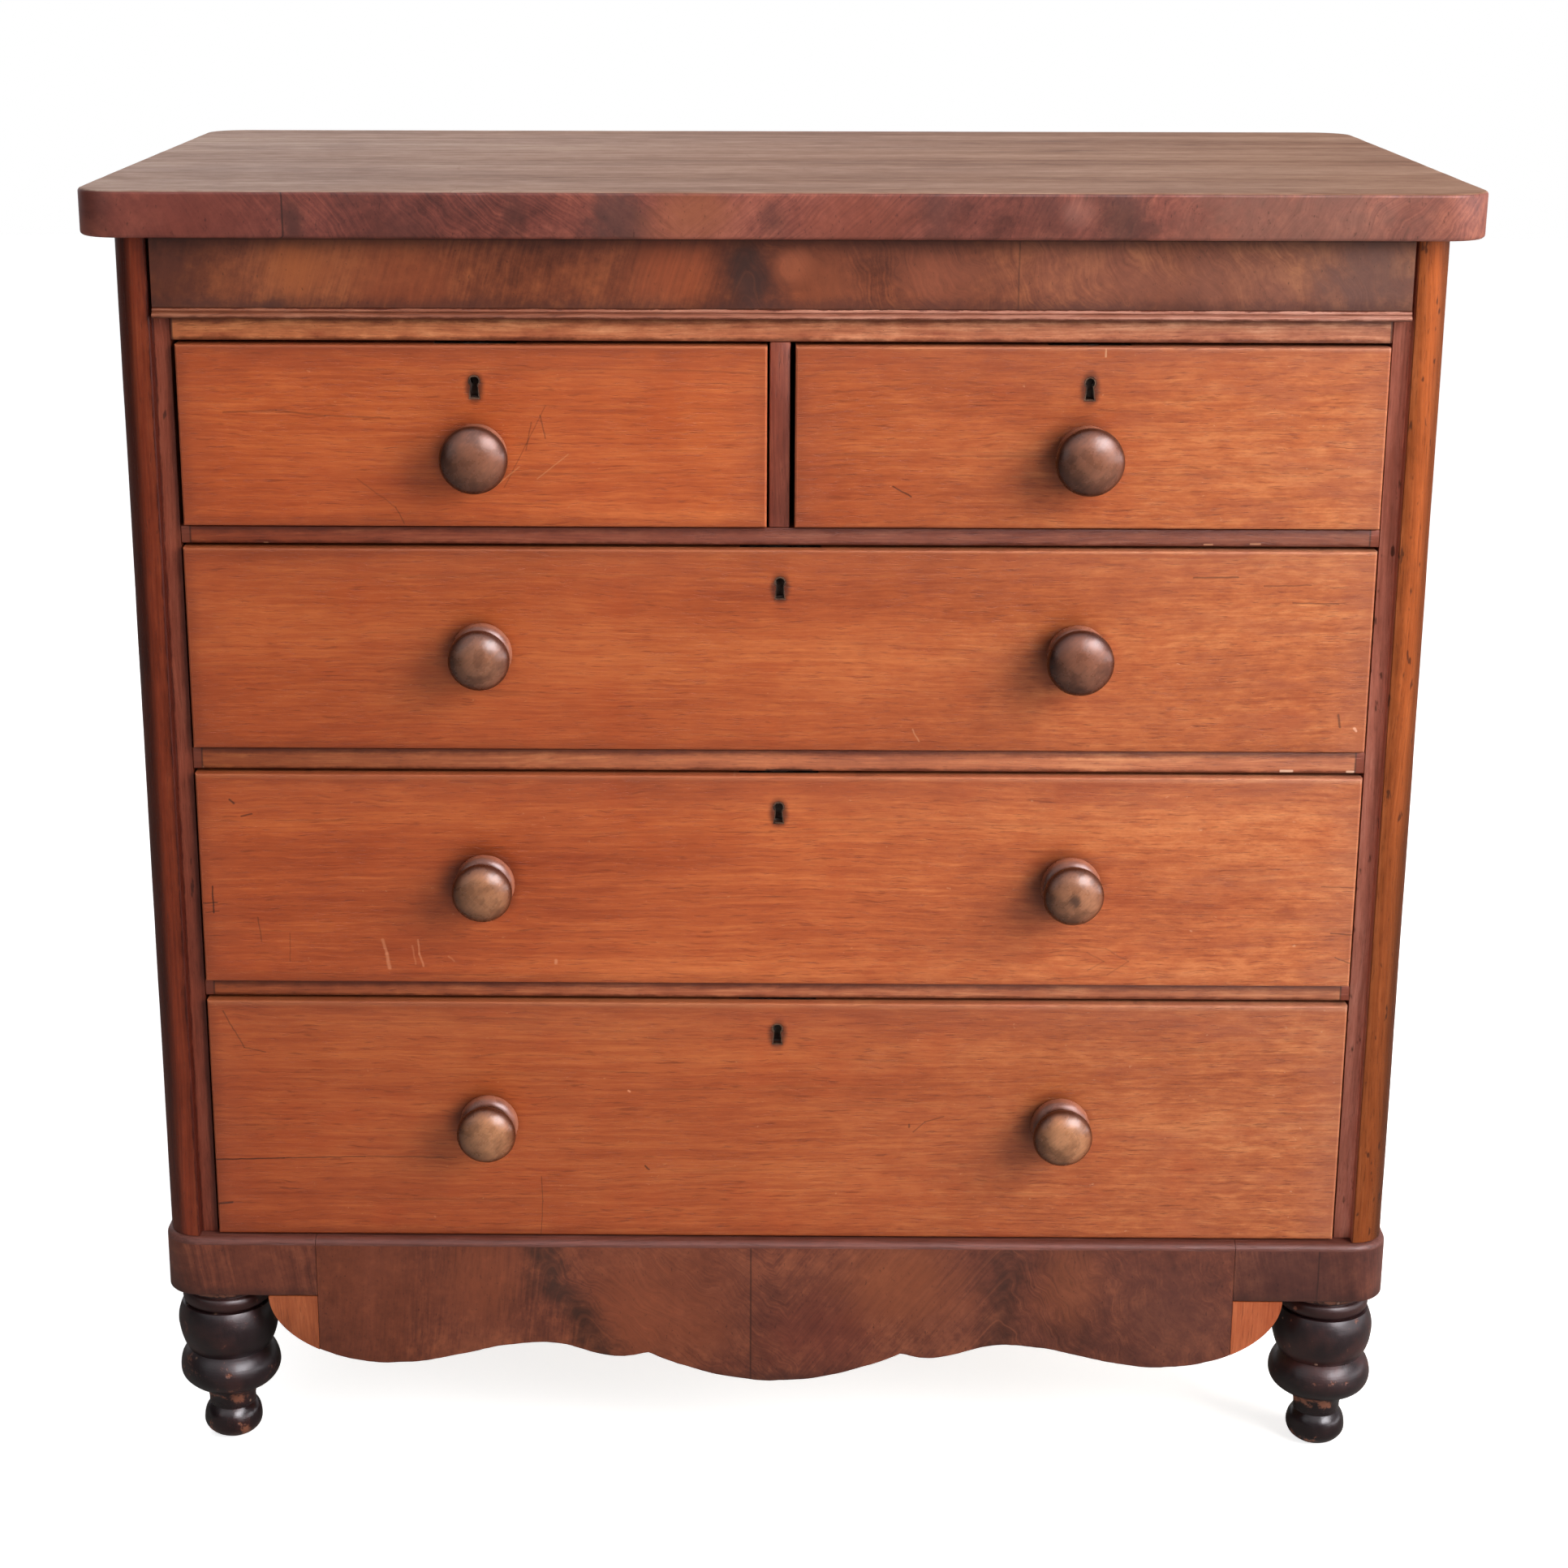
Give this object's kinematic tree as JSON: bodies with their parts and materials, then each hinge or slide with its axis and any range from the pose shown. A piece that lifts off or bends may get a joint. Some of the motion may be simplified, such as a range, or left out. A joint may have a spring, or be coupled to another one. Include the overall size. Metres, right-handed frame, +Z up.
{
  "type": "chest of drawers",
  "caption": "Mahogany chest with short drawers over long ones, quarter-round corner posts, wooden knobs, a shaped apron and turned feet.",
  "frame": {"origin": "middle of the bounding box at the floor", "axes": "+Z up, -Y towards the front where the drawers open, +X to the right seen from the front"},
  "size_m": [1.045, 0.6044, 1.047],
  "materials": {
    "top_board": "old French polish, worn to a satin sheen, mahogany with cross-grain veneer on the edges",
    "side_panel_left": "old polish, straight-grained mahogany",
    "side_panel_right": "old polish, straight-grained mahogany",
    "corner_post_left": "old polish, dark red-brown mahogany",
    "corner_post_right": "old polish, orange-red mahogany",
    "frieze": "old polish, flame mahogany veneer",
    "top_rail": "old polish, worn red mahogany",
    "rail_upper": "old polish, worn red mahogany",
    "rail_middle": "old polish, worn red mahogany",
    "rail_lower": "old polish, worn red mahogany",
    "drawer_divider": "old polish, worn red mahogany",
    "apron_board": "old polish, dark flame mahogany veneer",
    "plinth_left": "old polish, dark flame mahogany veneer",
    "plinth_right": "old polish, dark flame mahogany veneer",
    "apron_ear_left": "bare and worn orange-brown wood",
    "apron_ear_right": "bare and worn orange-brown wood",
    "foot_front_left": "black paint, chipped to red-brown wood",
    "foot_front_right": "black paint, chipped to red-brown wood",
    "foot_back_left": "black paint, chipped to red-brown wood",
    "foot_back_right": "black paint, chipped to red-brown wood",
    "back_panel": "unpolished pine",
    "bottom_board": "unpolished pine",
    "drawer_short_left_front": "old polish, orange-red mahogany with dents and dark pores",
    "drawer_short_left_box": "unpolished, planed",
    "drawer_short_left_bottom": "unpolished pine",
    "drawer_short_left_knob": "old polish, worn brown turned wood",
    "drawer_short_left_escutcheon": "tarnished",
    "drawer_short_left_lock": "dull",
    "drawer_short_left_lock_bolt": "worn",
    "drawer_short_right_front": "old polish, orange-red mahogany with dents and dark pores",
    "drawer_short_right_box": "unpolished, planed",
    "drawer_short_right_bottom": "unpolished pine",
    "drawer_short_right_knob": "old polish, worn brown turned wood",
    "drawer_short_right_escutcheon": "tarnished",
    "drawer_short_right_lock": "dull",
    "drawer_short_right_lock_bolt": "worn",
    "drawer_upper_front": "old polish, orange-red mahogany with dents and dark pores",
    "drawer_upper_box": "unpolished, planed",
    "drawer_upper_bottom": "unpolished pine",
    "drawer_upper_knob_left": "old polish, worn brown turned wood",
    "drawer_upper_knob_right": "old polish, worn brown turned wood",
    "drawer_upper_escutcheon": "tarnished",
    "drawer_upper_lock": "dull",
    "drawer_upper_lock_bolt": "worn",
    "drawer_middle_front": "old polish, orange-red mahogany with dents and dark pores",
    "drawer_middle_box": "unpolished, planed",
    "drawer_middle_bottom": "unpolished pine",
    "drawer_middle_knob_left": "old polish, worn brown turned wood",
    "drawer_middle_knob_right": "old polish, worn brown turned wood",
    "drawer_middle_escutcheon": "tarnished",
    "drawer_middle_lock": "dull",
    "drawer_middle_lock_bolt": "worn",
    "drawer_lower_front": "old polish, orange-red mahogany with dents and dark pores",
    "drawer_lower_box": "unpolished, planed",
    "drawer_lower_bottom": "unpolished pine",
    "drawer_lower_knob_left": "old polish, worn brown turned wood",
    "drawer_lower_knob_right": "old polish, worn brown turned wood",
    "drawer_lower_escutcheon": "tarnished",
    "drawer_lower_lock": "dull",
    "drawer_lower_lock_bolt": "worn"
  },
  "bodies": {
    "carcase": {"top_board": "top_board", "side_panel_left": "side_panel_left", "side_panel_right": "side_panel_right", "corner_post_left": "corner_post_left", "corner_post_right": "corner_post_right", "back_panel": "back_panel", "frieze": "frieze", "top_rail": "top_rail", "drawer_divider": "drawer_divider", "rail_upper": "rail_upper", "rail_middle": "rail_middle", "rail_lower": "rail_lower", "bottom_board": "bottom_board", "plinth_left": "plinth_left", "plinth_right": "plinth_right", "apron_board": "apron_board", "apron_ear_left": "apron_ear_left", "apron_ear_right": "apron_ear_right", "foot_front_left": "foot_front_left", "foot_front_right": "foot_front_right", "foot_back_left": "foot_back_left", "foot_back_right": "foot_back_right"},
    "drawer_short_left": {"drawer_short_left_front": "drawer_short_left_front", "drawer_short_left_box": "drawer_short_left_box", "drawer_short_left_bottom": "drawer_short_left_bottom", "drawer_short_left_knob": "drawer_short_left_knob", "drawer_short_left_escutcheon": "drawer_short_left_escutcheon", "drawer_short_left_lock": "drawer_short_left_lock"},
    "lock_bolt_short_left": {"drawer_short_left_lock_bolt": "drawer_short_left_lock_bolt"},
    "drawer_short_right": {"drawer_short_right_front": "drawer_short_right_front", "drawer_short_right_box": "drawer_short_right_box", "drawer_short_right_bottom": "drawer_short_right_bottom", "drawer_short_right_knob": "drawer_short_right_knob", "drawer_short_right_escutcheon": "drawer_short_right_escutcheon", "drawer_short_right_lock": "drawer_short_right_lock"},
    "lock_bolt_short_right": {"drawer_short_right_lock_bolt": "drawer_short_right_lock_bolt"},
    "drawer_upper": {"drawer_upper_front": "drawer_upper_front", "drawer_upper_box": "drawer_upper_box", "drawer_upper_bottom": "drawer_upper_bottom", "drawer_upper_knob_left": "drawer_upper_knob_left", "drawer_upper_knob_right": "drawer_upper_knob_right", "drawer_upper_escutcheon": "drawer_upper_escutcheon", "drawer_upper_lock": "drawer_upper_lock"},
    "lock_bolt_upper": {"drawer_upper_lock_bolt": "drawer_upper_lock_bolt"},
    "drawer_middle": {"drawer_middle_front": "drawer_middle_front", "drawer_middle_box": "drawer_middle_box", "drawer_middle_bottom": "drawer_middle_bottom", "drawer_middle_knob_left": "drawer_middle_knob_left", "drawer_middle_knob_right": "drawer_middle_knob_right", "drawer_middle_escutcheon": "drawer_middle_escutcheon", "drawer_middle_lock": "drawer_middle_lock"},
    "lock_bolt_middle": {"drawer_middle_lock_bolt": "drawer_middle_lock_bolt"},
    "drawer_lower": {"drawer_lower_front": "drawer_lower_front", "drawer_lower_box": "drawer_lower_box", "drawer_lower_bottom": "drawer_lower_bottom", "drawer_lower_knob_left": "drawer_lower_knob_left", "drawer_lower_knob_right": "drawer_lower_knob_right", "drawer_lower_escutcheon": "drawer_lower_escutcheon", "drawer_lower_lock": "drawer_lower_lock"},
    "lock_bolt_lower": {"drawer_lower_lock_bolt": "drawer_lower_lock_bolt"}
  },
  "joints": [
    {"name": "short_left_drawer_slide", "type": "slide", "parent": "carcase", "child": "drawer_short_left", "axis": [0, -1, 0], "range_m": [0, 0.38]},
    {"name": "short_right_drawer_slide", "type": "slide", "parent": "carcase", "child": "drawer_short_right", "axis": [0, -1, 0], "range_m": [0, 0.38]},
    {"name": "upper_drawer_slide", "type": "slide", "parent": "carcase", "child": "drawer_upper", "axis": [0, -1, 0], "range_m": [0, 0.38]},
    {"name": "middle_drawer_slide", "type": "slide", "parent": "carcase", "child": "drawer_middle", "axis": [0, -1, 0], "range_m": [0, 0.38]},
    {"name": "lower_drawer_slide", "type": "slide", "parent": "carcase", "child": "drawer_lower", "axis": [0, -1, 0], "range_m": [0, 0.38]},
    {"name": "short_left_lock_bolt_slide", "type": "slide", "parent": "drawer_short_left", "child": "lock_bolt_short_left", "axis": [0, 0, 1], "range_m": [0, 0.009]},
    {"name": "short_right_lock_bolt_slide", "type": "slide", "parent": "drawer_short_right", "child": "lock_bolt_short_right", "axis": [0, 0, 1], "range_m": [0, 0.009]},
    {"name": "upper_lock_bolt_slide", "type": "slide", "parent": "drawer_upper", "child": "lock_bolt_upper", "axis": [0, 0, 1], "range_m": [0, 0.009]},
    {"name": "middle_lock_bolt_slide", "type": "slide", "parent": "drawer_middle", "child": "lock_bolt_middle", "axis": [0, 0, 1], "range_m": [0, 0.009]},
    {"name": "lower_lock_bolt_slide", "type": "slide", "parent": "drawer_lower", "child": "lock_bolt_lower", "axis": [0, 0, 1], "range_m": [0, 0.009]}
  ]
}
